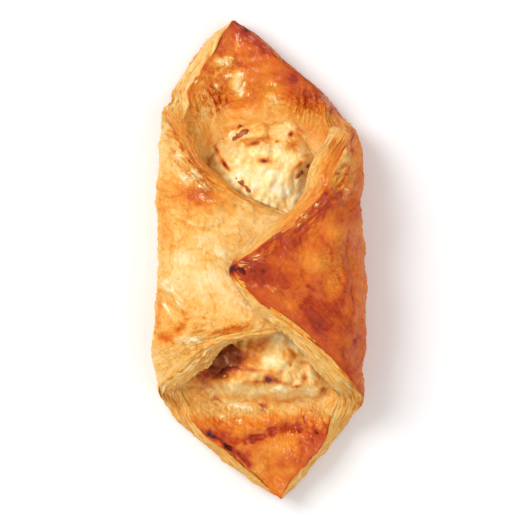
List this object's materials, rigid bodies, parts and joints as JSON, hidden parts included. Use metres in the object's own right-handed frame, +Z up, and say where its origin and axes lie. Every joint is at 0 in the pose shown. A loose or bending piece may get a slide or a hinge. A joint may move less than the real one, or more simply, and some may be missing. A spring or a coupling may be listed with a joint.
{
  "type": "ham and cheese croissant",
  "caption": "Golden flaky pastry parcel with two flaps folded over a cheese and ham filling, open at two pointed ends.",
  "frame": {"origin": "on the surface the pastry rests on, under the middle of its bounding box", "axes": "+Y along the long axis, towards the open corner that is at the top of the picture; +X towards the side whose flap lies on top; +Z up"},
  "size_m": [0.0716, 0.1608, 0.0418],
  "materials": {
    "crust": "egg-washed baked crust, glossy on top and dry on the cut layers",
    "cheese": "moist baked cream cheese",
    "ham": "moist baked ham"
  },
  "bodies": {
    "root": {"pastry": "crust", "cheese_filling": "cheese", "ham_north_west": "ham", "ham_north_east": "ham", "ham_north_tip": "ham", "ham_south_west": "ham", "ham_south_east": "ham"}
  },
  "joints": []
}
